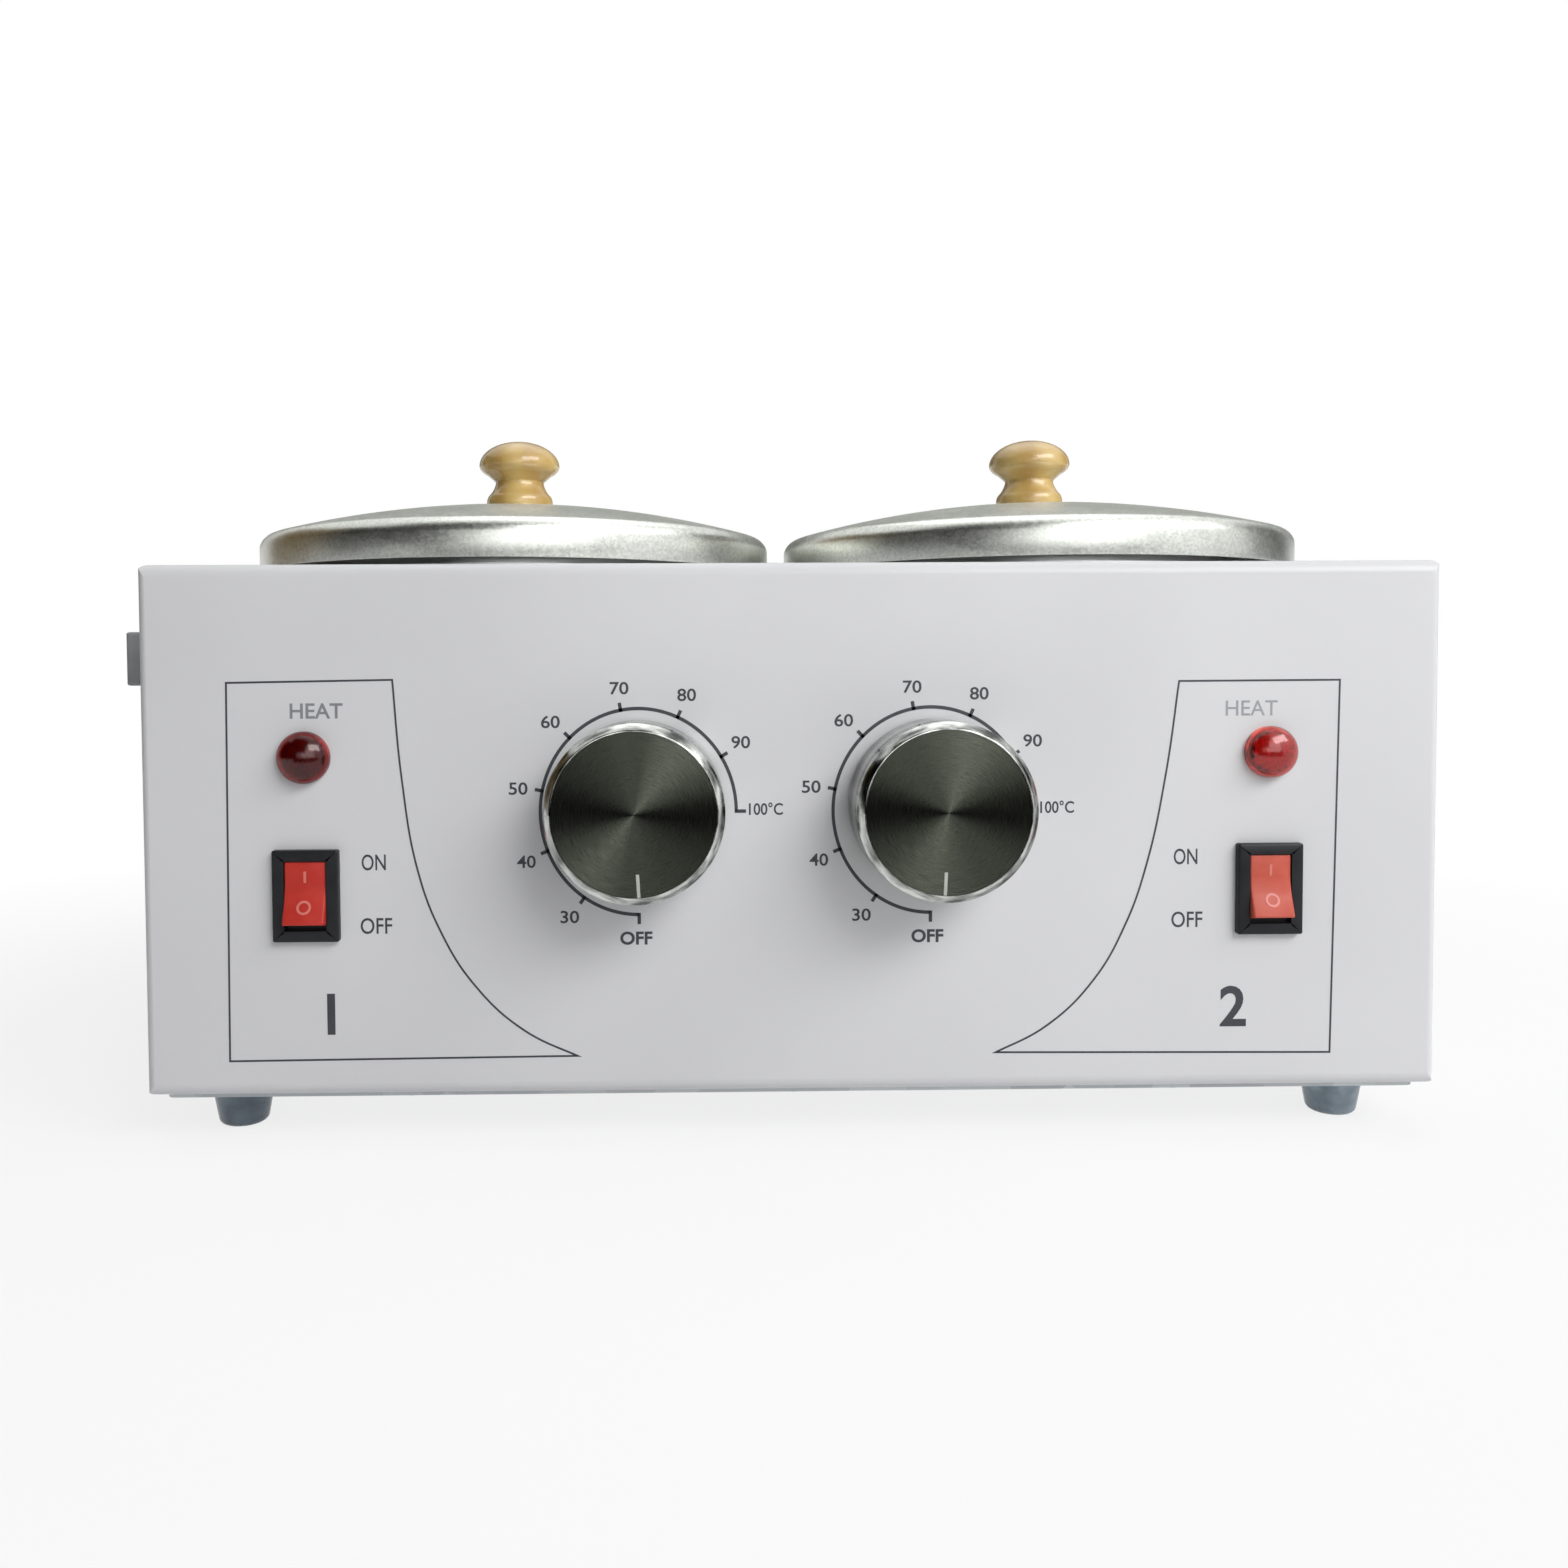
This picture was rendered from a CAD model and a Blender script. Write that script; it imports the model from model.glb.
# %% [markdown]
# # A double wax warmer
# A folded steel case holds two heated wells. Each well has a lift-out pot with a spun lid, and the
# front carries a dial, a rocker switch and a signal lamp for each of them. The measured frame comes
# from the CAD model, and this lesson dresses it: visible pieces are modelled finer, and every
# surface gets the finish of its real material.

import math

import bmesh
import bpy
from mathutils import Matrix, Vector


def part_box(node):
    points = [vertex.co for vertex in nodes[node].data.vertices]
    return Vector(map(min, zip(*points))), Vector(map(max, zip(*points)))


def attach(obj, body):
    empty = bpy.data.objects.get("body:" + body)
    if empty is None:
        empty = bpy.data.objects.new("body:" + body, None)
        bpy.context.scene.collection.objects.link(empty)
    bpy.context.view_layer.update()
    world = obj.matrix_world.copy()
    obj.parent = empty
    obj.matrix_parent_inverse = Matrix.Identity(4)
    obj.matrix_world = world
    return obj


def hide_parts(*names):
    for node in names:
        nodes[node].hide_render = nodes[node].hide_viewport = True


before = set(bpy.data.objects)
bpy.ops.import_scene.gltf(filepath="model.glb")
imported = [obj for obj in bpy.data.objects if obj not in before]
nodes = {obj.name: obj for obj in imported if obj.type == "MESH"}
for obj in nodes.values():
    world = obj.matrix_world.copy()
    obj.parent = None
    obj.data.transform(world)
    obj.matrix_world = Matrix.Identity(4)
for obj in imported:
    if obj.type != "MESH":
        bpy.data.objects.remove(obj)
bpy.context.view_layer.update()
SIDES = ("left", "right")
MM = 0.001

# %% [markdown]
# ## Camera
# A product shot is taken a little above the middle of the front, straight on. The camera is placed
# by its eye point and three small angles, and a small lens shift frames the object as a view
# camera would, without tilting it.

# %% Camera
EYE = Vector((-9.739, -374.89, 109.294)) * MM


def camera_matrix(eye, yaw, pitch, roll):
    level = math.cos(pitch)
    ahead = Vector((math.sin(yaw) * level, math.cos(yaw) * level, math.sin(pitch)))
    side = Vector((math.cos(yaw), -math.sin(yaw), 0))
    down = ahead.cross(side)
    right = side * math.cos(roll) + down * math.sin(roll)
    under = -side * math.sin(roll) + down * math.cos(roll)
    turn = Matrix((right, -under, -ahead)).transposed().to_4x4()
    return Matrix.Translation(eye) @ turn


camera = bpy.data.objects.new("camera", bpy.data.cameras.new("camera"))
bpy.context.scene.collection.objects.link(camera)
camera.matrix_world = camera_matrix(EYE, yaw=0.0158, pitch=-0.0375, roll=0.0051)
camera.data.sensor_width = 36
camera.data.lens = 30.46
camera.data.shift_x = 0.03506
camera.data.shift_y = -0.0420
camera.data.clip_start = 0.01
bpy.context.scene.camera = camera
bpy.context.scene.view_settings.view_transform = "Standard"
print("camera at", [round(v, 3) for v in camera.location])

# %% [markdown]
# ## Helpers for materials
# A colour is written as the hex value a paint chart would give, and one function turns it into the
# linear light that the renderer works in. One more function adds a node: its settings are named
# arguments, and its inputs are numbers, colours or the outputs of other nodes.

# %% Helpers for materials
def colour(hex_code):
    parts = [int(hex_code[i : i + 2], 16) / 255 for i in (1, 3, 5)]
    return (*[c / 12.92 if c <= 0.04045 else ((c + 0.055) / 1.055) ** 2.4 for c in parts], 1)


def add(tree, kind, inputs=None, **settings):
    new = tree.nodes.new(kind)
    for name, value in settings.items():
        setattr(new, name, value)
    for name, value in (inputs or {}).items():
        if isinstance(value, bpy.types.NodeSocket):
            tree.links.new(value, new.inputs[name])
        else:
            new.inputs[name].default_value = value
    return new


def material(name, **sockets):
    made = bpy.data.materials.new(name)
    made.use_nodes = True
    shader = made.node_tree.nodes["Principled BSDF"]
    for socket, value in sockets.items():
        shader.inputs[socket.replace("_", " ")].default_value = value
    return made, made.node_tree, shader


def dress(finish, *names):
    """Gives CAD nodes a finish through their material slots."""
    for name in names:
        for slot in nodes[name].material_slots:
            slot.material = finish


def both(stem):
    """The names of a node that is there once on each side."""
    return [f"{stem}_{side}" for side in SIDES]


print("a mid grey is", [round(v, 3) for v in colour("#808080")])

# %% [markdown]
# ## Patterns
# No real surface is even. Clouds, grains and tool marks are noises and cells whose features have a
# real size in millimetres.

# %% Patterns
def per_mm(size):
    """The scale of a noise or cell pattern whose features are that many millimetres wide."""
    return 1 / (size * MM)


def noise(tree, size, detail=2.0, stretch=(1, 1, 1), roughness=0.5):
    """Noise with features of size millimetres, read from the object's own coordinates."""
    place = add(tree, "ShaderNodeTexCoord").outputs["Object"]
    place = add(tree, "ShaderNodeMapping", {"Vector": place, "Scale": stretch}).outputs["Vector"]
    made = add(
        tree,
        "ShaderNodeTexNoise",
        {"Vector": place, "Scale": per_mm(size), "Detail": detail, "Roughness": roughness},
    )
    return made.outputs["Fac"]


def cells(tree, size):
    """Cells of size millimetres, each with a random value of its own."""
    place = add(tree, "ShaderNodeTexCoord").outputs["Object"]
    made = add(tree, "ShaderNodeTexVoronoi", {"Vector": place, "Scale": per_mm(size)})
    parts = add(tree, "ShaderNodeSeparateColor", {"Color": made.outputs["Color"]})
    return parts.outputs["Red"]


def circles(tree, scale, detail):
    """Noise that follows the circles of a turned part, by its UV map: u runs round it."""
    way = add(tree, "ShaderNodeUVMap", uv_map="circles").outputs["UV"]
    way = add(tree, "ShaderNodeMapping", {"Vector": way, "Scale": (*scale, 1)}).outputs["Vector"]
    made = add(tree, "ShaderNodeTexNoise", {"Vector": way, "Scale": 1, "Detail": detail})
    return made.outputs["Fac"]


print("a pattern of 2 mm has a scale of", round(per_mm(2)), "per metre")

# %% [markdown]
# ## Colour, gloss and relief
# A pattern drives three things in a finish: a ramp between close colours, a small drift of the
# roughness, and a bump that is mostly a few hundredths of a millimetre deep.

# %% Colour, gloss and relief
def tint(tree, shader, source, *stops):
    """Colours a finish by a ramp over source: stops are (position, hex colour)."""
    made = add(tree, "ShaderNodeValToRGB", {"Fac": source})
    elements = made.color_ramp.elements
    while len(elements) < len(stops):
        elements.new(0.5)
    for element, (place, code) in zip(elements, stops):
        element.position = place
        element.color = colour(code)
    tree.links.new(made.outputs["Color"], shader.inputs["Base Color"])


def gloss(tree, shader, source, low, high, start=0.3, end=0.7):
    """Lets the roughness wander from low to high while source goes from start to end."""
    limits = {"From Min": start, "From Max": end, "To Min": low, "To Max": high}
    made = add(tree, "ShaderNodeMapRange", {"Value": source, **limits})
    tree.links.new(made.outputs["Result"], shader.inputs["Roughness"])


def bump(tree, shader, height, depth, strength):
    """Raises the surface by depth millimetres where height is 1."""
    made = add(
        tree, "ShaderNodeBump", {"Height": height, "Distance": depth * MM, "Strength": strength}
    )
    tree.links.new(made.outputs["Normal"], shader.inputs["Normal"])


print("colour ramps, roughness and bumps are ready")

# %% [markdown]
# ## Powder coat
# The case is folded from steel sheet and powder coated in a light grey. Powder coat is a baked
# plastic skin: it has a soft gloss and a fine orange peel of about a millimetre, and its colour is
# very even, with only a faint drift over the sheet.

# %% Powder coat
powder_coat, tree, shader = material("powder_coated_steel", Roughness=0.42)
tint(tree, shader, noise(tree, 60, detail=1), (0.3, "#d2d2d4"), (0.7, "#d8d8d9"))
gloss(tree, shader, noise(tree, 9), 0.38, 0.46)
bump(tree, shader, noise(tree, 1.3, detail=1), 0.02, 0.35)
dress(powder_coat, "case_shell")
print(powder_coat.name)

# %% [markdown]
# ## Spun aluminium
# Lids, pots and wells are spun or pressed from soft aluminium sheet and left bare. The metal is
# dull and slightly mottled. On the lids its fine grains catch the light one by one, which reads as
# a sparkle. The pots keep shallow rings from the spinning tool, and the wells are worn up and down
# by the pots that slide in them.

# %% Spun aluminium
lid_metal, tree, shader = material("pressed_aluminium", Metallic=1.0, Roughness=0.34)
grains = cells(tree, 0.55)  # real grains are finer, and wouldn't show
halves = {"Factor": 0.5, "A": noise(tree, 14, detail=3, roughness=0.6), "B": grains}
mottle = add(tree, "ShaderNodeMix", halves, data_type="FLOAT").outputs["Result"]
tint(tree, shader, mottle, (0.2, "#c9ccc5"), (0.8, "#e6e8e2"))
gloss(tree, shader, mottle, 0.3, 0.37, start=0.2, end=0.8)
bump(tree, shader, noise(tree, 0.7, detail=1), 0.002, 0.5)

pot_metal, tree, shader = material("spun_aluminium", Metallic=1.0, Roughness=0.3)
rings = noise(tree, 1.2, detail=2, stretch=(0.02, 0.02, 1))
tint(tree, shader, noise(tree, 7, detail=4), (0.3, "#bfc0c0"), (0.7, "#cbcccc"))
gloss(tree, shader, rings, 0.27, 0.35)
bump(tree, shader, rings, 0.006, 0.4)
dress(pot_metal, *both("wax_pot"))

well_metal, tree, shader = material("deep_drawn_aluminium", Metallic=1.0, Roughness=0.42)
wear = noise(tree, 4, detail=5, stretch=(1, 1, 0.2))
tint(tree, shader, wear, (0.3, "#a2a3a4"), (0.7, "#c3c4c4"))
gloss(tree, shader, wear, 0.34, 0.5)
bump(tree, shader, wear, 0.02, 0.4)
dress(well_metal, *both("heating_well"))
print(lid_metal.name, pot_metal.name, well_metal.name)

# %% [markdown]
# ## Turned and lacquered wood
# The lid knobs are turned from a pale hardwood such as beech and dipped in clear lacquer. Turning
# cuts across the year rings, so soft bands of darker summer wood run through the knob, with fine
# pores along the grain. The lacquer is a clear coat over the wood.

# %% Turned and lacquered wood
wood, tree, shader = material(
    "lacquered_beech", Roughness=0.45, Coat_Weight=0.8, Coat_Roughness=0.12, Coat_IOR=1.5
)
spot = add(tree, "ShaderNodeTexCoord").outputs["Object"]
leaning = {"Vector": spot, "Rotation": (0.25, 0.35, 0), "Scale": (1, 1, 0.22)}
bands = {
    "Vector": add(tree, "ShaderNodeMapping", leaning).outputs["Vector"],
    "Scale": per_mm(30),
    "Distortion": 5,
    "Detail": 3,
    "Detail Scale": 1.2,
    "Phase Offset": 2.4,
}
year_rings = add(tree, "ShaderNodeTexWave", bands, wave_type="BANDS", bands_direction="X")
pores = noise(tree, 0.5, detail=3, stretch=(1, 1, 0.12))
shares = {"Factor": 0.3, "A": year_rings.outputs["Fac"], "B": pores}
grain = add(tree, "ShaderNodeMix", shares, data_type="FLOAT").outputs["Result"]
tint(tree, shader, grain, (0.1, "#b39052"), (0.45, "#c2a25f"), (0.9, "#ccae6e"))
bump(tree, shader, pores, 0.03, 0.3)
print(wood.name)

# %% [markdown]
# ## Anodised and bright aluminium for the dials
# A dial is a turned aluminium cap over a plastic core. Its face is cut in fine circles and
# anodised black. Circular cutting makes the gloss fan out in wedges, which an anisotropic shader
# gives when its tangent runs round the face. The tangent comes from a UV map whose u axis goes
# round. The rim is bright, cut with a diamond tool, and shows light and dark streaks along its
# cuts.

# %% Anodised and bright aluminium for the dials
dial_black, tree, shader = material(
    "black_anodised_aluminium",
    Metallic=1.0,
    Roughness=0.34,
    Anisotropic=1.0,
    Anisotropic_Rotation=0.25,
)
tangent = add(tree, "ShaderNodeTangent", direction_type="UV_MAP", uv_map="circles")
tree.links.new(tangent.outputs["Tangent"], shader.inputs["Tangent"])
cuts = circles(tree, (3, 60), 2)
tint(tree, shader, cuts, (0.3, "#3b3d38"), (0.7, "#53564c"))
gloss(tree, shader, cuts, 0.24, 0.31)

dial_silver, tree, shader = material("bright_aluminium", Metallic=1.0, Roughness=0.14)
cuts = circles(tree, (2.5, 3), 3)
tint(tree, shader, cuts, (0.35, "#5c5e5c"), (0.65, "#d2d4d0"))
gloss(tree, shader, cuts, 0.1, 0.22)
bump(tree, shader, cuts, 0.02, 0.3)
print(dial_black.name, dial_silver.name)

# %% [markdown]
# ## Moulded plastics, rubber and paint
# The rockers are opaque red, and the right one has faded in the sun. Bezels, lamp bodies and dial
# cores are black, and the gland is grey, all with the faint grain of a spark-eroded mould. Handled
# plastics are rubbed a little smoother in places. Printing ink and marking paint are thin skins of
# the same kind.

# %% Moulded plastics, rubber and paint
def moulded(name, dark, light, rough, grain=0.5, depth=0.01, **sockets):
    made, tree, shader = material(name, Roughness=rough, **sockets)
    cloud = noise(tree, 6, detail=4)
    tint(tree, shader, cloud, (0.3, dark), (0.7, light))
    gloss(tree, shader, cloud, rough - 0.04, rough + 0.05)
    bump(tree, shader, noise(tree, grain, detail=1), depth, 0.5)
    return made


rocker_finish = {
    "left": moulded(
        "red_polycarbonate", "#b5312a", "#c23c32", 0.36, depth=0.003, Specular_IOR_Level=0.25
    ),
    "right": moulded(
        "faded_red_polycarbonate", "#bf5344", "#cb6150", 0.36, depth=0.003, Specular_IOR_Level=0.3
    ),
}
bezel_plastic = moulded(
    "black_switch_nylon", "#1b1c1f", "#242528", 0.36, depth=0.006, Specular_IOR_Level=0.25
)
black_plastic = moulded("black_nylon", "#222326", "#2b2c2f", 0.42, grain=0.4, depth=0.012)
grey_nylon = moulded("grey_nylon", "#87888a", "#919294", 0.46, grain=0.6, depth=0.015)
steatite = moulded("white_steatite", "#d6d2c5", "#e3e0d4", 0.5)
phenolic = moulded("brown_phenolic", "#3a2a20", "#4b382b", 0.4)
wire_cover = moulded("silicone_wire_cover", "#3b3a38", "#52504c", 0.5)
seal_rubber = moulded("black_rubber", "#1f1f1f", "#2a2a2a", 0.6)
mark_paint = moulded("pale_red_marking", "#cf7064", "#da8175", 0.4, depth=0.003)
pointer_paint = moulded("grey_pointer_paint", "#a6aaa1", "#b8bcb3", 0.45)
ink = moulded("screen_ink", "#34363c", "#3e4046", 0.5, depth=0.002)
heat_ink = {
    "left": moulded("pale_screen_ink", "#7d7f84", "#8b8d92", 0.5, depth=0.002),
    "right": moulded("worn_screen_ink", "#94969b", "#a3a5a9", 0.5, depth=0.002),
}
dress(bezel_plastic, *both("switch_housing"))
dress(black_plastic, *both("lamp_body"), "lamp_nuts", *both("dial_core"))
dress(grey_nylon, "gland_body", "gland_cap", "gland_locknut")
dress(seal_rubber, "gland_seal")
dress(steatite, "terminal_block", *both("thermostat"))
dress(phenolic, *both("thermal_cutout"))
dress(wire_cover, "supply_wires", *both("control_wires"))
print("materials:", len(bpy.data.materials))

# %% [markdown]
# ## Clear acrylic and vinyl
# The lamps' lenses are clear red acrylic over a coloured foil that throws the light back. The left
# lens is deep red and looks dark while its lamp is off. The right one is brighter, and fine wiping
# scratches widen its highlight. The feet are a bluish vinyl that lets some light through.

# %% Clear acrylic and vinyl
def acrylic(name, dark, light, rough, gleam, haze=0.0):
    """Clear acrylic. haze is the share of fine scratches."""
    made, tree, shader = material(
        name,
        Roughness=rough,
        IOR=1.49,
        Transmission_Weight=0.95,
        Specular_IOR_Level=gleam,
        Coat_Weight=haze,
        Coat_Roughness=0.32,
    )
    tint(tree, shader, noise(tree, 3), (0.3, dark), (0.7, light))
    gloss(tree, shader, noise(tree, 2), rough - 0.02, rough + 0.03)
    return made


def prism_foil(name, dark, light, rough):
    made, tree, shader = material(name, Metallic=0.4, Roughness=rough)
    tint(tree, shader, noise(tree, 1.5), (0.3, dark), (0.7, light))
    return made


def vinyl(name, dark, light):
    made, tree, shader = material(name, Roughness=0.22, IOR=1.5, Transmission_Weight=0.45)
    tint(tree, shader, noise(tree, 4), (0.3, dark), (0.7, light))
    bump(tree, shader, noise(tree, 1.5, detail=2), 0.02, 0.4)
    return made


lens_finish = {
    "left": acrylic("dark_red_acrylic", "#9c1714", "#ad1f1a", 0.17, 0.12),
    "right": acrylic("bright_red_acrylic", "#d03426", "#dd4434", 0.12, 0.6, haze=0.45),
}
foil_finish = {
    "left": prism_foil("dark_red_reflector", "#861610", "#a5281e", 0.5),
    "right": prism_foil("bright_red_reflector", "#f8644a", "#ff9d7c", 0.2),
}
foot_finish = {
    "left": vinyl("translucent_vinyl", "#6c7c89", "#8595a1"),
    "right": vinyl("pale_translucent_vinyl", "#8b9eac", "#b4c4cf"),
}
print("clear finishes:", 3 * len(SIDES))

# %% [markdown]
# ## Steel, brass, copper and felt
# The inner pieces are ordinary workshop materials. Zinc-plated steel has large soft crystals,
# screws are turned and plated, the heater band is a rolled stainless jacket, and the insulation is
# a pressed fibre felt.

# %% Steel, brass, copper and felt
def bare_metal(name, dark, light, rough, size, stretch=(1, 1, 1)):
    made, tree, shader = material(name, Metallic=1.0, Roughness=rough)
    cloud = noise(tree, size, detail=4, stretch=stretch)
    tint(tree, shader, cloud, (0.3, dark), (0.7, light))
    gloss(tree, shader, cloud, rough - 0.08, rough + 0.1)
    bump(tree, shader, cloud, 0.01, 0.3)
    return made


zinc_steel, tree, shader = material("zinc_plated_steel", Metallic=1.0, Roughness=0.4)
crystals = cells(tree, 11)
tint(tree, shader, crystals, (0, "#9fa3a6"), (1, "#bfc3c5"))
gloss(tree, shader, crystals, 0.32, 0.5, start=0, end=1)
bump(tree, shader, noise(tree, 0.8), 0.01, 0.3)
dress(zinc_steel, "base_plate")

screw_steel = bare_metal("plated_screw_steel", "#a9acae", "#c6c8c9", 0.3, 1.5)
band_steel = bare_metal("rolled_stainless", "#8f8a80", "#b0aca3", 0.35, 3, (1, 1, 8))
brass = bare_metal("turned_brass", "#a98a45", "#c2a35a", 0.3, 2)
copper = bare_metal("drawn_copper", "#a8653f", "#c27f55", 0.3, 2)
dress(screw_steel, "base_screws", "foot_screws", "thermostat_screws", "band_clamp_screws")
dress(screw_steel, *both("lid_screw"), *both("dial_shaft"))
dress(band_steel, *both("heater_band"))
dress(brass, "foot_nuts", "earth_stud")
dress(copper, *both("sensor_bulb"))

felt, tree, shader = material("glass_fibre_felt", Roughness=0.95, Sheen_Weight=0.3)
fibres = noise(tree, 1.2, detail=5, stretch=(1, 1, 4), roughness=0.8)
tint(tree, shader, fibres, (0.3, "#c9c5b8"), (0.7, "#e8e5da"))
bump(tree, shader, fibres, 0.4, 0.6)
dress(felt, *both("insulation"))
print("materials:", len(bpy.data.materials))

# %% [markdown]
# ## Profiles and boxes
# Round pieces start as a profile: a line of a few points from the axis outwards, whose corners are
# rounded by a bevel, and which is then spun round the axis. Work is done in millimetres, as on a
# drawing. Shallow bows and parts of an ellipse give a profile its soft lines. Straight pieces
# start as a box.

# %% Profiles and boxes
def bevel(bm, parts, back, steps, affect="EDGES"):
    """Rounds edges or corners over by a set-back in millimetres."""
    bmesh.ops.bevel(
        bm, geom=parts, offset=back, segments=steps, profile=0.5, affect=affect, material=-1
    )


def profile(points, rounds=None, steps=5):
    """A wire through (radius, height) points. rounds gives a corner's set-back by its index."""
    bm = bmesh.new()
    verts = [bm.verts.new((r, 0, h)) for r, h in points]
    for a, b in zip(verts, verts[1:]):
        bm.edges.new((a, b))
    for index, back in (rounds or {}).items():
        bevel(bm, [verts[index]], back, steps, affect="VERTICES")
    return bm


def spun(bm, steps=96):
    """Spins a profile a full turn round the Z axis and closes it where it meets the axis."""
    bmesh.ops.spin(
        bm,
        geom=bm.verts[:] + bm.edges[:],
        cent=(0, 0, 0),
        axis=(0, 0, 1),
        angle=math.tau,
        steps=steps,
        use_merge=True,
    )
    bmesh.ops.remove_doubles(bm, verts=bm.verts, dist=0.0005)
    bmesh.ops.recalc_face_normals(bm, faces=bm.faces)
    return bm


def bow(start, end, rise, steps):
    """Points of a shallow arc from start to end that stands rise above its chord."""
    (x0, z0), (x1, z1) = start, end
    half = math.hypot(x1 - x0, z1 - z0) / 2
    radius = (half * half + rise * rise) / (2 * rise)
    across = Vector((x1 - x0, z1 - z0)).normalized()
    up = Vector((across.y, -across.x))
    centre = Vector(((x0 + x1) / 2, (z0 + z1) / 2)) + up * (rise - radius)
    reach = math.asin(min(half / radius, 1))
    turns = [reach * (2 * i / steps - 1) for i in range(steps + 1)]
    arms = [(up * radius * math.cos(t), across * radius * math.sin(t)) for t in turns]
    return [tuple(centre + high + along) for high, along in arms]


def oval(centre, across, up, start, end, steps):
    """Points of an upright ellipse about centre, between two angles in degrees."""
    angles = [math.radians(start + (end - start) * i / steps) for i in range(steps + 1)]
    return [(centre[0] + across * math.cos(a), centre[1] + up * math.sin(a)) for a in angles]


def box_piece(size, centre=(0, 0, 0)):
    bm = bmesh.new()
    bmesh.ops.create_cube(bm, size=1)
    bmesh.ops.scale(bm, vec=size, verts=bm.verts)
    bmesh.ops.translate(bm, vec=centre, verts=bm.verts)
    return bm


print("a bow of 10 over 100 mm:", [round(v, 2) for v in bow((50, 0), (-50, 0), 10, 2)[1]])

# %% [markdown]
# ## Placing and finishing pieces
# Sizes and places are read from the measured nodes. A finished mesh is scaled to metres, its sharp
# creases stay crisp, and it rides on a body of the mechanism.

# %% Placing and finishing pieces
FRONT_Y = -72.0  # the outer face of the front, in millimetres


def middle(name):
    """The middle of a CAD node, in millimetres."""
    low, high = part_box(name)
    return (low + high) / 2 / MM


def extent(name):
    """The lowest and the highest corner of a CAD node, in millimetres."""
    low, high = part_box(name)
    return low / MM, high / MM


def place(bm, matrix):
    bmesh.ops.transform(bm, matrix=matrix, verts=bm.verts)
    return bm


def upright_at(bm, name):
    """Puts a piece made about the Z axis where a CAD node stands."""
    return place(bm, Matrix.Translation((*middle(name).xy, extent(name)[0].z)))


def on_front(x, z, out=0.0):
    """Puts a piece made lying on its back onto the front face, standing out towards the viewer."""
    return Matrix.Translation((x, FRONT_Y - out, z)) @ Matrix.Rotation(math.pi / 2, 4, "X")


def join(bm, other):
    """Adds the faces of another bmesh to bm and frees it."""
    mesh = bpy.data.meshes.new("joined")
    other.to_mesh(mesh)
    other.free()
    bm.from_mesh(mesh)
    bpy.data.meshes.remove(mesh)


def finish_piece(name, bm, body, finish, replaced=(), crease=35):
    """Turns a millimetre bmesh into a piece that rides on a body."""
    bmesh.ops.scale(bm, vec=(MM, MM, MM), verts=bm.verts)
    for face in bm.faces:
        face.smooth = True
    for edge in bm.edges:
        edge.smooth = edge.calc_face_angle(0) < math.radians(crease)
    mesh = bpy.data.meshes.new(name)
    bm.to_mesh(mesh)
    bm.free()
    mesh.materials.append(finish)
    piece = bpy.data.objects.new(name, mesh)
    bpy.context.scene.collection.objects.link(piece)
    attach(piece, body)
    if replaced:
        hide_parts(*replaced)
    return piece


for name in ("lid_left", "lid_knob_left", "dial_shell_left", "dial_face_left", "lamp_lens_left"):
    print(name, *[[round(v, 2) for v in corner] for corner in extent(name)])

# %% [markdown]
# ## Lids
# A lid is a shallow dome with an upright skirt, pressed from one sheet, so it has one thickness
# and a soft bend where the dome turns down. The outer profile is spun and then given its sheet
# thickness inwards, and the cut edge of the skirt is rounded over.

# %% Lids
LID_SHEET = 0.9
LID_RISE = 10.2  # of the dome over its skirt
LID_BEND = 2.9  # set-back of the bend between dome and skirt
CUT_EDGE = 0.25


def lid(side):
    name = f"lid_{side}"
    low, high = extent(name)
    radius = (high.x - low.x) / 2
    crest = high.z - low.z
    skirt = crest - LID_RISE
    dome = bow((radius, skirt), (-radius, skirt), LID_RISE, 48)[:25]  # one side, up to the crest
    dome[-1] = (0, crest)
    bm = spun(profile([(radius, 0)] + dome, {1: LID_BEND}, steps=8), 128)
    bmesh.ops.solidify(bm, geom=bm.faces[:], thickness=LID_SHEET)
    rim = [e for e in bm.edges if all(v.co.z < 0.01 for v in e.verts) and e.calc_face_angle(0) > 1]
    bevel(bm, rim, CUT_EDGE, 2)
    upright_at(bm, name)
    return finish_piece(f"{name}_pressed", bm, name, lid_metal, [name])


for side in SIDES:
    made = lid(side)
    print(made.name, len(made.data.polygons), "faces")

# %% [markdown]
# ## Wooden knobs
# A knob is turned on a lathe: a flattened ball on a waist that flares to a rounded foot. One
# profile holds the whole shape, with a crisp line where the ball meets the waist.

# %% Wooden knobs
KNOB_SEAT = 8.6  # radius of the flat underside
KNOB_FOOT = ((9.1, 0.6), (8.85, 3.7))  # (radius, height) at the foot's lower and upper end
KNOB_NECK = (6.8, 7.3)
KNOB_WIDEST = 0.64  # where the ball is widest, as a share of the whole height
BALL_DROP = 4.4  # upright radius of the ball's lower half


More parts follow.
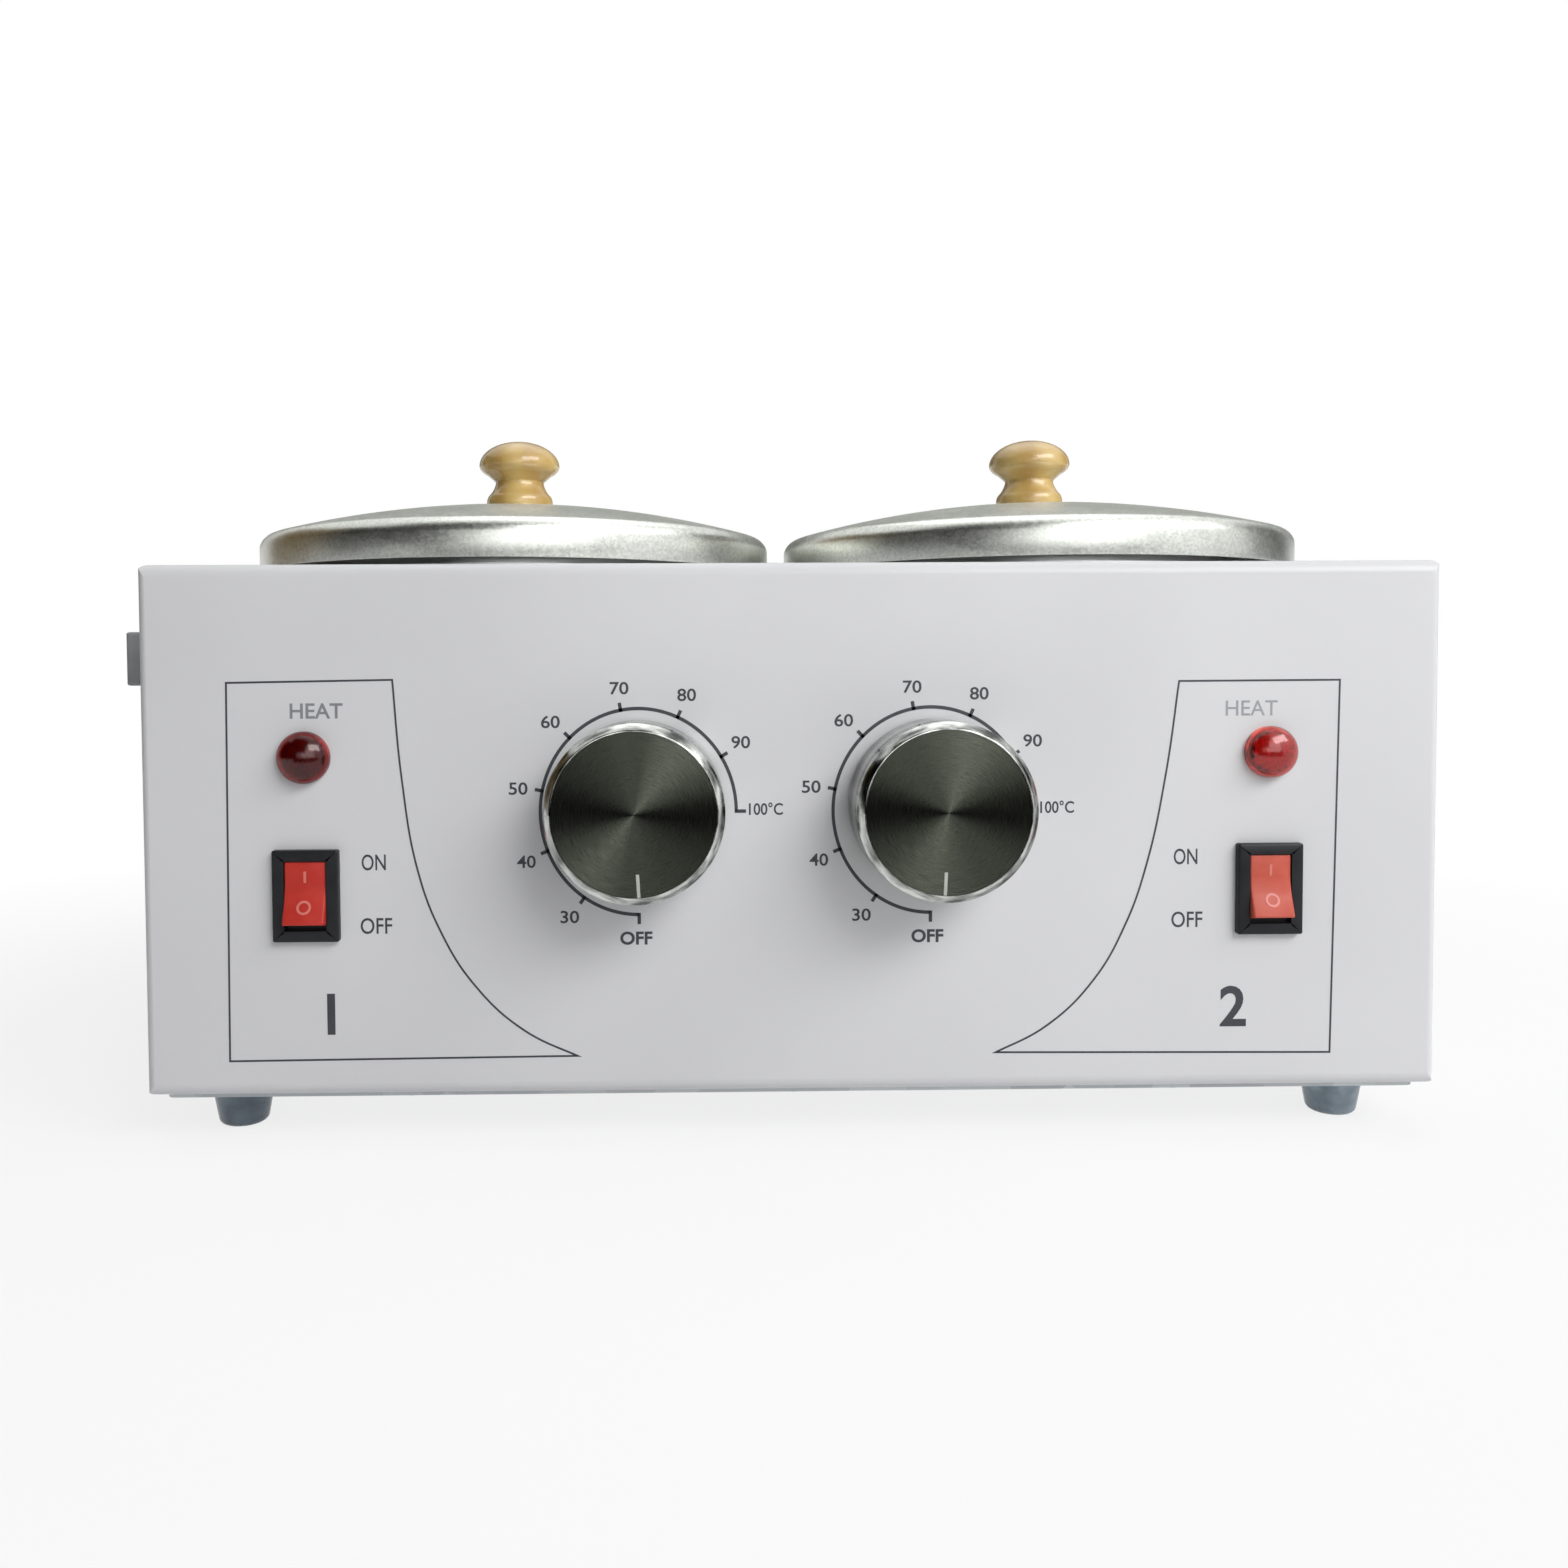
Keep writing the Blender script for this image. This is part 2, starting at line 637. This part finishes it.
def wooden_knob(side):
    name = f"lid_knob_{side}"
    low, high = extent(name)
    head, tall = (high.x - low.x) / 2, high.z - low.z
    widest = KNOB_WIDEST * tall
    foot_line = bow(*KNOB_FOOT, 0.35, 6)
    waist = bow(KNOB_FOOT[1], KNOB_NECK, -0.3, 6)[1:] + [(KNOB_NECK[0], 7.8)]
    lower = oval((0, widest), head, BALL_DROP, -38, 0, 9)
    upper = oval((0, widest), head, tall - widest, 0, 90, 14)[1:-1]
    line = [(0, 0), (KNOB_SEAT, 0)] + foot_line + waist + lower + upper + [(0, tall)]
    bm = upright_at(spun(profile(line), 72), name)
    return finish_piece(
        f"knob_{side}_turned", bm, f"lid_{side}", wood, [name], crease=28
    )


for side in SIDES:
    print(wooden_knob(side).name)

# %% [markdown]
# ## A map for turned faces
# The circular brushing of a dial follows a UV map: u runs round the axis and v runs outwards. The
# angle of each corner is measured from its own face's middle, so that no face is stretched back
# over the whole turn.

# %% A map for turned faces
TURN_UNITS = 8  # units of u in a full turn
MM_PER_V = 4


def circle_map(bm):
    """Adds a UV map for a disc on the Z axis: u runs round it and v runs outwards."""
    layer = bm.loops.layers.uv.new("circles")
    for face in bm.faces:
        about = face.calc_center_median()
        base = math.atan2(about.y, about.x)
        for loop in face.loops:
            x, y, _ = loop.vert.co
            turn = math.atan2(y, x) - base if math.hypot(x, y) > 0.001 else 0
            turn = (turn + math.pi) % math.tau - math.pi
            loop[layer].uv = ((base + turn) / math.tau * TURN_UNITS, math.hypot(x, y) / MM_PER_V)


print("u makes", TURN_UNITS, "units a turn")

# %% [markdown]
# ## Dials
# A dial cap is turned from bar: a straight grip, a bright chamfer and a shallow seat for the black
# face. A fine painted line on the face is its pointer.

# %% Dials
DIAL_WALL = 1.4
DIAL_CHAMFER = 1.5
SEAT_WIDTH, SEAT_DEPTH = 1.8, 1.2  # from the outside in to the black face, and its seat's depth
PLATE_GAP = 0.06  # between the face and its seat
PLATE_BACK, PLATE_FRONT = 1.15, 0.12  # behind the chamfer's front edge
POINTER = (0.7, 5.0, 0.14)  # width, length and thickness
POINTER_TURN = {"left": 3.3, "right": -2.7}  # degrees off straight down, from fitting by hand


def dial(side):
    body, shell = f"dial_{side}", f"dial_shell_{side}"
    low, high = extent(shell)
    x, z, radius = (low.x + high.x) / 2, (low.z + high.z) / 2, (high.x - low.x) / 2
    near, far = FRONT_Y - high.y, FRONT_Y - low.y
    inner, seat = radius - DIAL_WALL, radius - SEAT_WIDTH
    ring = [
        (inner, near),
        (radius, near),
        (radius, far - DIAL_CHAMFER),
        (radius - DIAL_CHAMFER, far),
        (seat, far),
        (seat, far - SEAT_DEPTH),
        (inner, far - SEAT_DEPTH),
        (inner, near),
    ]
    cap = spun(profile(ring, {1: 0.4, 2: 0.15, 3: 0.12}, steps=3), 128)
    circle_map(cap)
    place(cap, on_front(x, z))
    finish_piece(f"dial_{side}_cap", cap, body, dial_silver, [shell])
    edge, back, front = seat - PLATE_GAP, far - PLATE_BACK, far - PLATE_FRONT
    inwards = [(seat * share, front) for share in (0.8, 0.6, 0.4, 0.2, 0.06, 0.0)]
    plate = spun(profile([(0, back), (edge, back), (edge, front)] + inwards), 128)
    circle_map(plate)
    place(plate, on_front(x, z))
    finish_piece(
        f"dial_{side}_plate", plate, body, dial_black, [f"dial_face_{side}"]
    )
    mark = box_piece(POINTER, (0, 2.6 - seat, far - 0.11))
    place(mark, Matrix.Rotation(math.radians(POINTER_TURN[side]), 4, "Z"))
    place(mark, on_front(x, z))
    finish_piece(f"dial_{side}_pointer", mark, body, pointer_paint)


for side in SIDES:
    dial(side)
    print("dial", side, "at", [round(v, 1) for v in middle(f"dial_face_{side}")])

# %% [markdown]
# ## Switch bodies
# The switch body snaps into a cut-out, and its bezel hides the edge. The bezel's opening is
# pressed in from the front, and the body is drawn out behind the panel. Two brass tabs stand out
# of its back. Every moulded edge has a small radius.

# %% Switch bodies
POCKET = (10.1, 16.6, 8.2)  # the opening for the rocker: width, height and depth
BODY = (12.9, 18.6)  # the switch body behind the panel
TAB = (4.8, 0.8, 7.0)
TAB_APART = 3.2  # from the switch's middle


def outermost(bm, way):
    """The large face that lies furthest out along Z: way is 1 for the front, -1 for the back."""
    return max(bm.faces, key=lambda f: (round(way * f.calc_center_median().z, 3), f.calc_area()))


def fit_face(bm, face, wide, tall):
    """Insets a rectangular face and sizes the new inner face."""
    bmesh.ops.inset_region(bm, faces=[face], thickness=0.5, use_even_offset=True)
    for axis, size in ((0, wide), (1, tall)):
        reach = max(abs(v.co[axis]) for v in face.verts)
        for v in face.verts:
            v.co[axis] *= size / 2 / reach


def push(bm, face, way):
    """Extrudes a face along Z by way and takes the old face away."""
    grown = bmesh.ops.extrude_face_region(bm, geom=[face])["geom"]
    bmesh.ops.delete(bm, geom=[face], context="FACES")
    moved = [g for g in grown if isinstance(g, bmesh.types.BMVert)]
    bmesh.ops.translate(bm, vec=(0, 0, way), verts=moved)


def switch_body(side):
    name = f"switch_housing_{side}"
    low, high = extent(name)
    spot = on_front((low.x + high.x) / 2, (low.z + high.z) / 2)
    out, deep = FRONT_Y - low.y, high.y - FRONT_Y - TAB[2]
    bm = box_piece((high.x - low.x, high.z - low.z, out), (0, 0, out / 2))
    bevel(bm, [e for e in bm.edges if abs(e.verts[0].co.z - e.verts[1].co.z) > 0.1], 0.5, 4)
    bevel(bm, outermost(bm, 1).edges[:], 0.45, 3)
    front = outermost(bm, 1)
    fit_face(bm, front, *POCKET[:2])
    push(bm, front, -POCKET[2])
    back = outermost(bm, -1)
    fit_face(bm, back, *BODY)
    push(bm, back, -deep)
    bmesh.ops.recalc_face_normals(bm, faces=bm.faces)
    place(bm, spot)
    finish_piece(
        f"switch_{side}_body", bm, "case", bezel_plastic, [name], crease=40
    )
    tabs = bmesh.new()
    for way in (-1, 1):
        tab = box_piece((TAB[1], TAB[0], TAB[2]), (TAB_APART * way, 0, 0.01 - deep - TAB[2] / 2))
        bevel(tab, tab.edges[:], 0.15, 2)
        join(tabs, tab)
    place(tabs, spot)
    finish_piece(f"switch_{side}_tabs", tabs, "case", brass)


print("a pocket is", POCKET, "mm")

# %% [markdown]
# ## Rockers
# A rocker has a shallow V face: one half is pressed in and the other stands up. Its side view is
# drawn out to its width, and the valley of the V gets a wide radius. A painted line and a painted
# ring mark its halves.

# %% Rockers
TILT = math.radians(11)
HALF, VALLEY, WIDE = 7.2, 3.3, 9.4  # half the length, the height in the middle and the width
AXLE = -1.5394  # height of the axle over the front
TIP = VALLEY + HALF * math.tan(TILT)


def switch_rocker(side):
    low, high = extent(f"switch_rocker_{side}")
    spot = on_front((low.x + high.x) / 2, middle(f"switch_housing_{side}").z)
    lean = spot @ Matrix.Translation((0, 0, AXLE)) @ Matrix.Rotation(-TILT, 4, "X")
    belly = [(-HALF, -1), (-1.8, -3.4), (1.8, -3.4), (HALF, -1)]
    side_view = belly + [(HALF, TIP), (0, VALLEY), (-HALF, TIP)]
    bm = bmesh.new()
    cheek = bm.faces.new([bm.verts.new((-WIDE / 2, y, h)) for y, h in side_view])
    grown = bmesh.ops.extrude_face_region(bm, geom=[cheek])["geom"]
    moved = [g for g in grown if isinstance(g, bmesh.types.BMVert)]
    bmesh.ops.translate(bm, vec=(WIDE, 0, 0), verts=moved)
    bmesh.ops.recalc_face_normals(bm, faces=bm.faces)
    bevel(bm, [e for e in bm.edges if all(abs(v.co.y) < 0.01 < v.co.z for v in e.verts)], 2.6, 8)
    bevel(bm, [e for e in bm.edges if e.calc_face_angle(0) > math.radians(30)], 0.4, 3)
    place(bm, lean)
    body = f"rocker_{side}"
    finish_piece(
        f"switch_{side}_rocker",
        bm,
        body,
        rocker_finish[side],
        [f"switch_rocker_{side}"],
        crease=50,
    )
    ring = [(1.1, -0.04), (1.65, -0.04), (1.65, 0.04), (1.1, 0.04), (1.1, -0.04)]
    marks = {"one": (box_piece((0.6, 2.6, 0.08)), 3.7), "ring": (spun(profile(ring), 40), -3.2)}
    for mark, (bm, at) in marks.items():
        height = VALLEY + abs(at) * math.tan(TILT) + 0.02
        lie = Matrix.Translation((0, at, height))
        lie = lie @ Matrix.Rotation(math.copysign(TILT, at), 4, "X")
        place(bm, lean @ lie)
        finish_piece(f"switch_{side}_mark_{mark}", bm, body, mark_paint)


for side in SIDES:
    switch_body(side)
    switch_rocker(side)
    print("switch", side, [round(v, 2) for v in middle(f"switch_housing_{side}")])

# %% [markdown]
# ## Signal lamps
# The lens is a hollow dome of clear red acrylic. Under it lies a moulded field of small six-sided
# prisms, which throws the lamp's light sideways and glitters even when the lamp is off.

# %% Signal lamps
LENS_WALL, LENS_CROWN = 0.9, 1.0  # thickness at the collar and at the top
COLLAR = 0.9  # height of the straight part under the dome
PRISM_STEP, ROW_STEP = 1.0, 0.866
PRISM_FOOT, PRISM_TOP, PRISM_TALL = 0.57, 0.12, 0.5
PRISM_AT = 1.95  # height of a prism's middle


def lamp(side):
    low, high = extent(f"lamp_lens_{side}")
    x, z, radius = (low.x + high.x) / 2, (low.z + high.z) / 2, (high.x - low.x) / 2
    out, inner = FRONT_Y - low.y, radius - LENS_WALL
    crown = out - LENS_CROWN
    dome = oval((0, COLLAR), radius, out - COLLAR, 0, 90, 14)[:-1] + [(0, out)]
    hollow = [(0, crown)] + oval((0, COLLAR), inner, crown - COLLAR, 90, 0, 12)[1:]
    bm = spun(profile([(inner, 0.05), (radius, 0.05)] + dome), 64)
    inside = spun(profile(hollow + [(inner, 0.05)]), 64)
    bmesh.ops.reverse_faces(inside, faces=inside.faces[:])
    join(bm, inside)
    bmesh.ops.remove_doubles(bm, verts=bm.verts, dist=0.0005)
    place(bm, on_front(x, z))
    finish = lens_finish[side]
    replaced = [f"lamp_lens_{side}"]
    finish_piece(f"lamp_{side}_dome", bm, "case", finish, replaced, crease=50)
    field = bmesh.new()
    for row in range(-5, 6):
        for column in range(-5, 6):
            px, py = (column + 0.5 * (row % 2)) * PRISM_STEP, row * PRISM_STEP * ROW_STEP
            if math.hypot(px, py) < radius - 1.5:
                bmesh.ops.create_cone(
                    field,
                    cap_ends=True,
                    segments=6,
                    radius1=PRISM_FOOT,
                    radius2=PRISM_TOP,
                    depth=PRISM_TALL,
                    matrix=Matrix.Translation((px, py, PRISM_AT)),
                )
    place(field, on_front(x, z))
    finish = foil_finish[side]
    prisms = finish_piece(f"lamp_{side}_prisms", field, "case", finish, crease=20)
    return len(prisms.data.polygons)


for side in SIDES:
    print("lamp", side, "has", lamp(side), "prism faces")

# %% [markdown]
# ## Feet
# The feet are screwed on, moulded from clear vinyl with a bluish tint: a short cone with rounded
# edges and a deep hole for the screw.

# %% Feet
FOOT_BORE, FOOT_RECESS, RECESS_DEEP = 1.55, 3.2, 5.0
SOLE_RADIUS, FOOT_RADIUS, FOOT_COLLAR = 5.6, 7.3, 0.8


def foot(name, side):
    low, high = extent(name)
    tall = high.z - low.z
    line = [
        (FOOT_BORE, RECESS_DEEP),
        (FOOT_RECESS, RECESS_DEEP),
        (FOOT_RECESS, 0),
        (SOLE_RADIUS, 0),
        (FOOT_RADIUS, tall - FOOT_COLLAR),
        (FOOT_RADIUS, tall),
        (FOOT_BORE, tall),
        (FOOT_BORE, RECESS_DEEP),
    ]
    bm = spun(profile(line, {2: 0.5, 3: 1.4, 4: 0.5, 5: 0.3}, steps=4), 64)
    upright_at(bm, name)
    return finish_piece(f"{name}_moulded", bm, "case", foot_finish[side], [name])


for end in ("front", "rear"):
    for side in SIDES:
        print(foot(f"foot_{end}_{side}", side).name)

# %% [markdown]
# ## Flat shapes
# Lettering and outlines start as text and curves, become filled faces, and are then ordinary
# meshes. An outline's face is inset and taken away, so that a ribbon of even width is left. Ink
# stands a few hundredths of a millimetre proud.

# %% Flat shapes
INK = 0.03  # thickness of the ink


def shaped(kind, fill):
    """The mesh of a text or a flat curve, as a bmesh lying on the ground."""
    curve = bpy.data.curves.new("print", kind)
    fill(curve)
    held = bpy.data.objects.new("print", curve)
    bpy.context.scene.collection.objects.link(held)
    drawn = held.evaluated_get(bpy.context.evaluated_depsgraph_get())
    mesh = bpy.data.meshes.new_from_object(drawn)
    bm = bmesh.new()
    bm.from_mesh(mesh)
    bpy.data.objects.remove(held)
    bpy.data.curves.remove(curve)
    bpy.data.meshes.remove(mesh)
    return bm


def span(bm, axis):
    values = [v.co[axis] for v in bm.verts]
    return min(values), max(values)


def words(text, height, width=None, weight=0.0):
    """Lettering of a given cap height and width in millimetres, centred on the origin."""

    def fill(curve):
        curve.body = text
        curve.size = 4
        curve.resolution_u = 4
        curve.offset = weight

    bm = shaped("FONT", fill)
    (x0, x1), (y0, y1) = span(bm, 0), span(bm, 1)
    grow = height / (y1 - y0)
    bmesh.ops.translate(bm, vec=(-(x0 + x1) / 2, -(y0 + y1) / 2, 0), verts=bm.verts)
    bmesh.ops.scale(bm, vec=(width / (x1 - x0) if width else grow, grow, 1), verts=bm.verts)
    return bm


def outline(points, corners, line=0.45):
    """A closed ribbon through points: those in corners are sharp, the others lie on a bend."""

    def fill(curve):
        curve.dimensions = "2D"
        curve.fill_mode = "BOTH"
        curve.resolution_u = 10
        spline = curve.splines.new("BEZIER")
        spline.bezier_points.add(len(points) - 1)
        for index, (knot, (x, z)) in enumerate(zip(spline.bezier_points, points)):
            handle = "VECTOR" if index in corners else "AUTO"
            knot.co = (x, z, 0)
            knot.handle_left_type = knot.handle_right_type = handle
        spline.use_cyclic_u = True

    bm = shaped("CURVE", fill)
    bmesh.ops.dissolve_faces(bm, faces=bm.faces[:])
    bm.faces.ensure_lookup_table()
    face = bm.faces[0]
    bmesh.ops.inset_individual(bm, faces=[face], thickness=line, use_even_offset=True)
    bmesh.ops.delete(bm, geom=[face], context="FACES")
    return bm


def printed(name, parts, finish):
    """Joins flat shapes, each with its (x, z) place, into one print on the front."""
    whole = bmesh.new()
    for bm, (x, z) in parts:
        bmesh.ops.triangulate(bm, faces=bm.faces[:])
        place(bm, on_front(x, z, INK / 2))
        join(whole, bm)
    for face in whole.faces:
        if face.normal.y > 0:
            face.normal_flip()
    bmesh.ops.solidify(whole, geom=whole.faces[:], thickness=INK)
    low = min(v.co.y for v in whole.verts)
    bmesh.ops.translate(whole, vec=(0, FRONT_Y - INK - low, 0), verts=whole.verts)
    return finish_piece(name, whole, "case", finish, crease=30)


print("ink stands", INK, "mm proud")

# %% [markdown]
# ## Where the print stands
# Every word and number has its centre in millimetres: x from the middle, z from the table. The
# numbers of a scale count from the scale's own centre. An outline is a list of points, and its
# sharp corners are named by their index.

# %% Where the print stands
NUMBERS = {
    "30": (-15.9, -24.1),
    "40": (-25.7, -11.3),
    "50": (-27.4, 5.5),
    "60": (-19.9, 20.7),
    "70": (-4.2, 28.3),
    "80": (11.2, 26.7),
    "90": (23.5, 15.8),
}
FRONT_PRINT = {
    "left": {
        "scale": (-25.8, 76.6),
        "panel": [(-119.3, 106.8), (-81.3, 107.3), (-79.4, 84.2), (-76.1, 63.6), (-71.2, 49.8)]
        + [(-63.4, 37.0), (-52.2, 26.5), (-39.2, 20.1), (-120.0, 19.6)],
        "corners": (0, 1, 7, 8),
        "ON": (-86.3, 65.4),
        "OFF": (-85.9, 50.8),
        "number": ("1", (-96.5, 30.5)),
        "HEAT": (-98.8, 100.1),
        "heat weight": 0.06,
    },
    "right": {
        "scale": (41.2, 76.6),
        "panel": [(135.8, 106.2), (134.4, 19.3), (55.4, 20.0), (68.0, 26.5), (78.8, 37.0)]
        + [(86.1, 49.8), (90.9, 63.6), (95.2, 84.2), (98.2, 106.1)],
        "corners": (0, 1, 2, 8),
        "ON": (100.2, 65.4),
        "OFF": (100.6, 50.8),
        "number": ("2", (111.5, 30.5)),
        "HEAT": (115.2, 99.6),
        "heat weight": 0.02,
    },
}
print("outlines of", *[len(at["panel"]) for at in FRONT_PRINT.values()], "points")

# %% [markdown]
# ## Printed scales
# Scales, outlines and words are silk-screened on the front in dark ink. A scale is a short edge
# spun three quarters of the way round the dial, with a tick at every number. The word over each
# lamp is printed in a paler ink, and the right one is worn thinner.

# %% Printed scales
SCALE_WIDE, SCALE_TALL = 22.4, 23.65  # half axes of the scale's ring
SCALE_TURN, SCALE_STEP = 270, 34  # degrees from OFF to 100, and from tick to tick
SCALE_LINE = (0.983, 1.017)  # the line's inner and outer edge, as shares of the half axes
TICK, END_TICK, TICK_WIDE = 2.1, 2.6, 0.8


def scale_ring():
    """Three quarters of a ring, from six o'clock round to three, with its ticks and two ends."""
    bm = bmesh.new()
    ends = [bm.verts.new((0, -share, 0)) for share in SCALE_LINE]
    edge = bm.edges.new(ends)
    bmesh.ops.spin(
        bm,
        geom=[*ends, edge],
        cent=(0, 0, 0),
        axis=(0, 0, -1),
        angle=math.radians(SCALE_TURN),
        steps=96,
    )
    bmesh.ops.scale(bm, vec=(SCALE_WIDE, SCALE_TALL, 1), verts=bm.verts)
    for step in range(9):
        long = END_TICK if step in (0, 8) else TICK
        angle = math.radians(-90 - min(SCALE_STEP * step, SCALE_TURN))
        way = Vector((math.cos(angle), math.sin(angle), 0))
        root = Vector((SCALE_WIDE * way.x, SCALE_TALL * way.y, 0)) - way * 0.38
        tick = Matrix.Translation(root + way * long / 2) @ Matrix.Rotation(angle, 4, "Z")
        tick = tick @ Matrix.Diagonal((long, TICK_WIDE, 1, 1))
        bmesh.ops.create_grid(bm, x_segments=1, y_segments=1, size=0.5, matrix=tick)
    return bm


for side, at in FRONT_PRINT.items():
    x, z = at["scale"]
    number, spot = at["number"]
    parts = [(outline(at["panel"], at["corners"]), (0, 0)), (scale_ring(), (x, z))]
    for text, (dx, dz) in NUMBERS.items():
        parts.append((words(text, 2.9, 4.3, weight=0.06), (x + dx, z + dz)))
    parts.append((words("100°C", 2.9, 7.8, weight=0.06), (x + 29.2, z + 0.5)))
    parts.append((words("OFF", 3.1, 7.4, weight=0.12), (x - 0.7, z - 29.1)))
    parts.append((words("ON", 3.7, 5.5, weight=0.03), at["ON"]))
    parts.append((words("OFF", 3.7, 7.2, weight=0.03), at["OFF"]))
    parts.append((words(number, 9.5, weight=0.08), spot))
    printed(f"print_{side}", parts, ink)
    heat = words("HEAT", 3.5, 12.0, weight=at["heat weight"])
    printed(f"print_{side}_heat", [(heat, at["HEAT"])], heat_ink[side])
    print("print", side, "has", len(parts), "parts")

# %% [markdown]
# ## Finishes of the studio
# The object stands on a pale floor that keeps its shadow near by and fades to white further out.
# What is seen by eye, in gloss or through glass can so differ from what soft light meets. Cards
# and cloths are plain matt.

# %% Finishes of the studio
def empty_material(name):
    made = bpy.data.materials.new(name)
    made.use_nodes = True
    made.node_tree.nodes.clear()
    return made, made.node_tree


def seen_directly(tree):
    """Is 1 where a surface is seen by eye, in gloss or through glass, and 0 for soft light."""
    path = add(tree, "ShaderNodeLightPath").outputs
    seen = path["Is Camera Ray"]
    for other in ("Is Glossy Ray", "Is Transmission Ray"):
        either = {0: seen, 1: path[other]}
        seen = add(tree, "ShaderNodeMath", either, operation="MAXIMUM").outputs[0]
    return seen


def fading_floor(name, shade, glow, start, end):
    """Matt and pale. Seen directly it turns white between start and end metres away, and near
    the object it still takes a shadow."""
    made, tree = empty_material(name)
    seen = seen_directly(tree)
    spot = add(tree, "ShaderNodeTexCoord").outputs["Object"]
    away = add(tree, "ShaderNodeVectorMath", {0: spot}, operation="LENGTH").outputs["Value"]
    limits = {"From Min": start, "From Max": end, "To Min": glow, "To Max": 1.0}
    fade = add(tree, "ShaderNodeMapRange", {"Value": away, **limits}).outputs["Result"]
    share = add(tree, "ShaderNodeMath", {0: seen, 1: fade}, operation="MULTIPLY").outputs[0]
    matt = add(tree, "ShaderNodeBsdfDiffuse", {"Color": colour(shade)}).outputs[0]
    white = add(tree, "ShaderNodeEmission", {"Color": colour("#ffffff"), "Strength": 1.0})
    mixed = add(tree, "ShaderNodeMixShader", {0: share, 1: matt, 2: white.outputs[0]})
    add(tree, "ShaderNodeOutputMaterial", {"Surface": mixed.outputs[0]})
    return made


def card_finish(name, code):
    made, tree = empty_material(name)
    matt = add(tree, "ShaderNodeBsdfDiffuse", {"Color": colour(code)})
    add(tree, "ShaderNodeOutputMaterial", {"Surface": matt.outputs[0]})
    return made


floor_finish = fading_floor("pale_floor", "#ededee", 0.8, 0.22, 0.5)
print(floor_finish.name, "has", len(floor_finish.node_tree.nodes), "nodes")

# %% [markdown]
# ## Floor and cards
# Bare metal shows what stands around it, so cards that the camera doesn't see give it contrast:
# dark ones to the left and above, a warm one behind on the left, grey ones behind and to the
# right, and a narrow black cloth in front.

# %% Floor and cards
def stage_sheet(name, size, matrix, finish, seen):
    bm = bmesh.new()
    bmesh.ops.create_grid(bm, x_segments=1, y_segments=1, size=0.5)
    bmesh.ops.scale(bm, vec=(*size, 1), verts=bm.verts)
    mesh = bpy.data.meshes.new(name)
    bm.to_mesh(mesh)
    bm.free()
    mesh.materials.append(finish)
    sheet = bpy.data.objects.new(name, mesh)
    bpy.context.scene.collection.objects.link(sheet)
    sheet.matrix_world = matrix
    sheet.visible_camera = seen


def facing(eye, target):
    """Stands something at eye and turns its back side to target, as a lamp shines."""
    way = Vector(target) - Vector(eye)
    return Matrix.Translation(eye) @ way.to_track_quat("-Z", "Y").to_matrix().to_4x4()


def square_on(spot):
    """Stands something upright at spot, along the front of the object."""
    return Matrix.Translation(spot) @ Matrix.Rotation(math.pi / 2, 4, "X")


MIDDLE = (0, 0, 0.14)
CARDS = {
    "dark_card": ((1.4, 1.1), facing((-0.92, -0.68, 0.45), (-0.05, 0, 0.14)), "#141513"),
    "warm_card": ((0.8, 0.8), facing((-1.0, 0.25, 0.4), MIDDLE), "#8a7550"),
    "camera_cloth": ((0.7, 0.09), square_on((0.04, -0.42, 0.045)), "#101010"),
    "upper_card": ((0.9, 0.95), facing((-0.34, -0.72, 0.72), (-0.12, 0, 0.1)), "#1b1c1a"),
    "side_card": ((0.8, 0.9), facing((1.15, 0.35, 0.4), MIDDLE), "#555652"),
    "rear_card": ((2.1, 0.7), square_on((0.15, 1.1, 0.62)), "#7d7e78"),
}
stage_sheet("floor", (8, 8), Matrix.Identity(4), floor_finish, seen=True)
for name, (size, matrix, code) in CARDS.items():
    stage_sheet(name, size, matrix, card_finish(name, code), seen=False)
print("cards:", ", ".join(CARDS))

# %% [markdown]
# ## Lamps and sky
# A large soft lamp stands to the right and above, so that the front darkens a little towards the
# left, and two weak ones fill in from the front and from the top. The sky is white where it is
# seen, and dim where it only lights.

# %% Lamps and sky
def softbox(name, eye, target, size, power):
    light = bpy.data.lights.new(name, "AREA")
    light.shape = "RECTANGLE"
    light.size, light.size_y = size
    light.energy = power
    box = bpy.data.objects.new(name, light)
    bpy.context.scene.collection.objects.link(box)
    box.matrix_world = facing(eye, target)


softbox("key", (0.85, -0.95, 1.0), (0, -0.05, 0.08), (1.3, 0.6), 17.5)
softbox("fill", (0.3, -1.5, 0.5), (0, 0, 0.08), (1.2, 1.0), 6)
softbox("top", (0.1, 0.3, 1.5), (0, 0, 0.1), (1.2, 1.2), 4)

world = bpy.data.worlds.new("studio")
bpy.context.scene.world = world
world.use_nodes = True
tree = world.node_tree
tree.nodes.clear()
seen = seen_directly(tree)
dim = add(tree, "ShaderNodeBackground", {"Color": colour("#f4f6fa"), "Strength": 0.4}).outputs[0]
white = add(tree, "ShaderNodeBackground", {"Color": colour("#ffffff"), "Strength": 1.0})
sky = add(tree, "ShaderNodeMixShader", {0: seen, 1: dim, 2: white.outputs[0]})
add(tree, "ShaderNodeOutputWorld", {"Surface": sky.outputs[0]})
print("lamps:", len(bpy.data.lights))
